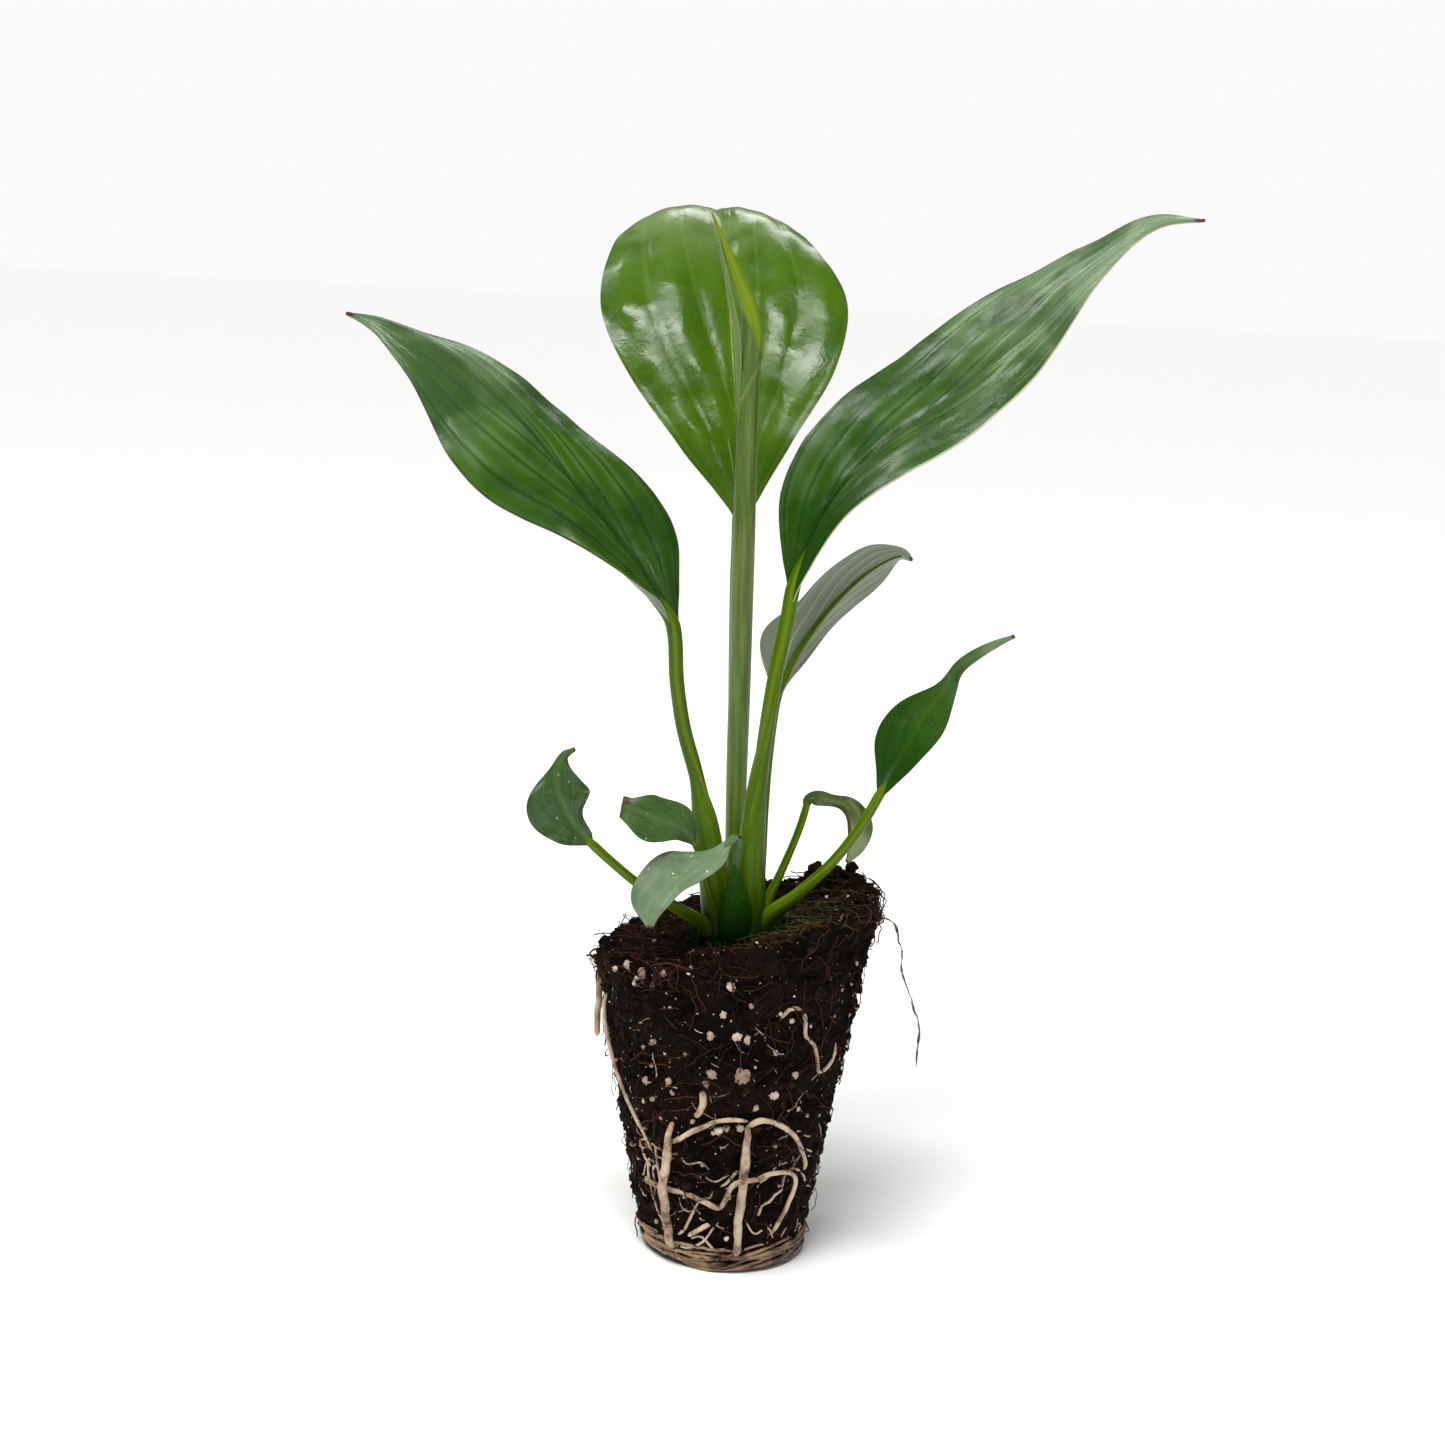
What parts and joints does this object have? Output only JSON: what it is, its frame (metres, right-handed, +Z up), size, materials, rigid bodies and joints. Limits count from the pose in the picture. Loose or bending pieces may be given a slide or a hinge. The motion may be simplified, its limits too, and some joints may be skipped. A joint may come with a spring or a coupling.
{
  "type": "peace lily plug plant",
  "caption": "Young peace lily with glossy pointed leaves and a rolled new leaf, rooted in a tapered plug of peat and coir with roots over its side.",
  "frame": {"origin": "centre of the plug's flat base, which the plant stands on", "axes": "+Z up along the plug to the leaves; +X to the plant's right as seen in the picture; +Y away from the viewer, to the plant's back"},
  "size_m": [0.1231, 0.081, 0.1604],
  "materials": {
    "soil": "rough moist peat and coir",
    "young_leaf": "glossy",
    "dark_leaf": "glossy",
    "dull_leaf": "satin",
    "petiole": "satin",
    "sheath": "satin",
    "root": "matt, slightly translucent",
    "dry_root": "rough with soil crumbs"
  },
  "bodies": {
    "root": {"substrate_plug": "soil", "crown": "sheath", "crown_sheath": "sheath", "new_leaf_spear": "young_leaf", "back_leaf_petiole": "petiole", "back_leaf_blade": "young_leaf", "left_leaf_petiole": "petiole", "left_leaf_blade": "dark_leaf", "right_leaf_petiole": "petiole", "right_leaf_blade": "dark_leaf", "right_back_leaf_petiole": "petiole", "right_back_leaf_blade": "dull_leaf", "low_right_leaf_petiole": "petiole", "low_right_leaf_blade": "dark_leaf", "curled_right_leaf_petiole": "petiole", "curled_right_leaf_blade": "dull_leaf", "low_left_leaf_petiole": "petiole", "low_left_leaf_blade": "dull_leaf", "small_left_leaf_petiole": "petiole", "small_left_leaf_blade": "dull_leaf", "front_leaf_petiole": "petiole", "front_leaf_blade": "dull_leaf", "left_main_root": "root", "middle_main_root": "root", "left_arch_root": "root", "right_arch_root": "root", "cross_root": "root", "stub_root": "root", "slanting_root": "root", "upper_root": "root", "left_fine_root": "root", "left_hanging_root": "root", "back_main_root": "root", "back_right_root": "root", "back_cross_root": "root", "back_upper_root": "root", "lower_ring_root": "root", "upper_ring_root": "root", "right_hanging_root": "dry_root"}
  },
  "joints": []
}
